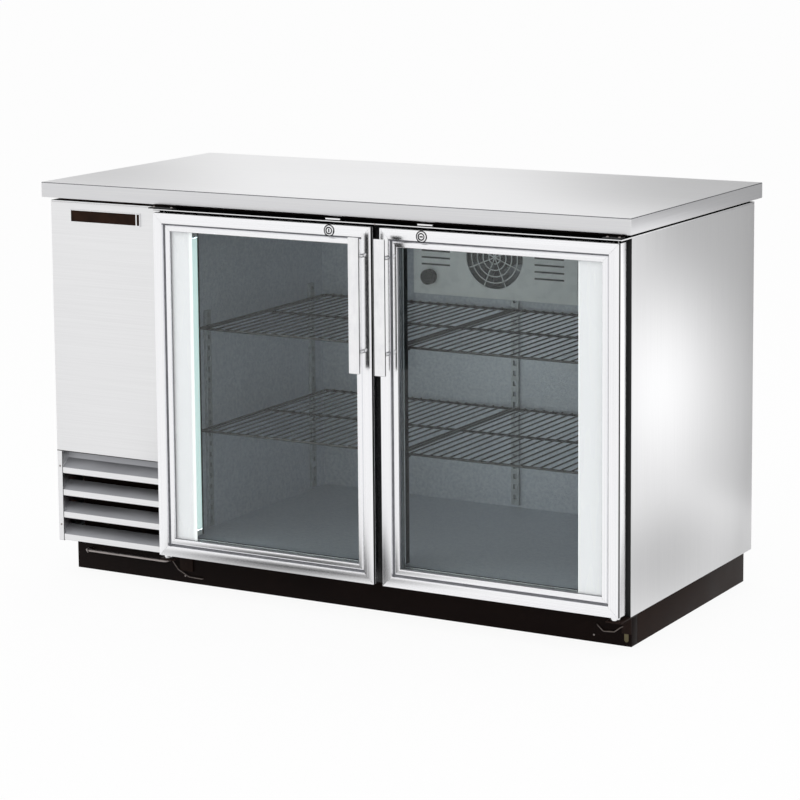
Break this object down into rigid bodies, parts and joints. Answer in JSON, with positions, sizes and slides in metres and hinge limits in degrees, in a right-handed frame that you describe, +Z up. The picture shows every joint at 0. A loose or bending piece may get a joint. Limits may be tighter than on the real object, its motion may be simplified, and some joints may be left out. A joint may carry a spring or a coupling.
{
  "type": "under counter fridge",
  "caption": "Free-standing stainless under counter fridge with glass doors, wire shelves, a louvred machine compartment at the left and a dark recessed base.",
  "frame": {"origin": "on the floor, midway between the countertop ends and midway between the handle faces and the countertop back edge", "axes": "+Z up, +X to the right seen from the front, +Y from the doors to the back"},
  "size_m": [1.496, 0.764, 0.925],
  "materials": {
    "brushed_stainless": "brushed",
    "polished_stainless": "polished",
    "door_aluminium": "satin anodised",
    "galvanised_steel": "dull zinc",
    "liner_aluminium": "dull stucco",
    "copper_tube": "drawn",
    "black_paint": "semi gloss",
    "black_wire_coat": "dipped",
    "white_enamel": "gloss",
    "black_vinyl": "moulded",
    "grey_plastic": "moulded",
    "foam_core": "foamed",
    "lamp_glass": "milky",
    "clear_glass": "clear"
  },
  "bodies": {
    "cabinet": {"countertop": "brushed_stainless", "side_panel_left": "brushed_stainless", "side_panel_right": "brushed_stainless", "back_panel": "galvanised_steel", "insulation_floor": "foam_core", "insulation_roof": "foam_core", "insulation_right": "foam_core", "insulation_partition": "foam_core", "insulation_back": "foam_core", "inner_liner": "liner_aluminium", "front_breaker": "black_vinyl", "top_deck": "polished_stainless", "front_panel": "brushed_stainless", "nameplate": "black_vinyl", "louvre_grille": "brushed_stainless", "centre_mullion": "black_vinyl", "base_front": "black_paint", "base_frame": "black_paint", "kick_bar": "polished_stainless", "hinge_bracket_left": "black_paint", "hinge_bracket_right": "black_paint", "shelf_left_upper": "black_wire_coat", "shelf_left_lower": "black_wire_coat", "shelf_right_upper": "black_wire_coat", "shelf_right_lower": "black_wire_coat", "pilaster_left_front": "galvanised_steel", "pilaster_left_back": "galvanised_steel", "pilaster_right_front": "galvanised_steel", "pilaster_right_back": "galvanised_steel", "pilaster_centre_back": "galvanised_steel", "evaporator_cover": "white_enamel", "evaporator_coil": "liner_aluminium", "evaporator_motor": "grey_plastic", "unit_tray": "galvanised_steel", "compressor": "black_paint", "condenser_coil": "black_paint", "fan_shroud": "black_paint", "condenser_motor": "grey_plastic", "refrigerant_line": "copper_tube", "electrical_box": "galvanised_steel", "power_inlet": "black_vinyl"},
    "evaporator_rotor": {"evaporator_fan": "grey_plastic"},
    "condenser_rotor": {"condenser_fan": "grey_plastic"},
    "thermostat": {"thermostat_knob": "black_vinyl"},
    "left_door": {"door_frame_left": "door_aluminium", "glazing_bead_left": "door_aluminium", "glass_unit_left": "clear_glass", "door_gasket_left": "black_vinyl", "lamp_housing_left": "white_enamel", "lamp_tube_left": "lamp_glass", "door_handle_left": "polished_stainless"},
    "left_lock": {"lock_left": "polished_stainless"},
    "right_door": {"door_frame_right": "door_aluminium", "glazing_bead_right": "door_aluminium", "glass_unit_right": "clear_glass", "door_gasket_right": "black_vinyl", "lamp_housing_right": "white_enamel", "lamp_tube_right": "lamp_glass", "door_handle_right": "polished_stainless"},
    "right_lock": {"lock_right": "polished_stainless"}
  },
  "joints": [
    {"name": "left_door_hinge", "type": "hinge", "parent": "cabinet", "child": "left_door", "pos_m": [-0.41, -0.32425, 0.48], "axis": [0, 0, -1], "range_deg": [0, 110]},
    {"name": "right_door_hinge", "type": "hinge", "parent": "cabinet", "child": "right_door", "pos_m": [0.716, -0.32425, 0.48], "axis": [0, 0, 1], "range_deg": [0, 110]},
    {"name": "left_lock_turn", "type": "hinge", "parent": "left_door", "child": "left_lock", "pos_m": [0.0385, -0.342, 0.8605], "axis": [0, -1, 0], "range_deg": [0, 90]},
    {"name": "right_lock_turn", "type": "hinge", "parent": "right_door", "child": "right_lock", "pos_m": [0.2675, -0.342, 0.8605], "axis": [0, -1, 0], "range_deg": [0, 90]},
    {"name": "evaporator_fan_spin", "type": "hinge", "parent": "cabinet", "child": "evaporator_rotor", "pos_m": [0.153, 0.22, 0.7368], "axis": [0, 1, 0], "continuous": true},
    {"name": "condenser_fan_spin", "type": "hinge", "parent": "cabinet", "child": "condenser_rotor", "pos_m": [-0.58025, -0.18, 0.184], "axis": [0, 1, 0], "continuous": true},
    {"name": "thermostat_turn", "type": "hinge", "parent": "cabinet", "child": "thermostat", "pos_m": [-0.017, 0.2, 0.6818], "axis": [0, -1, 0], "range_deg": [0, 270]}
  ]
}
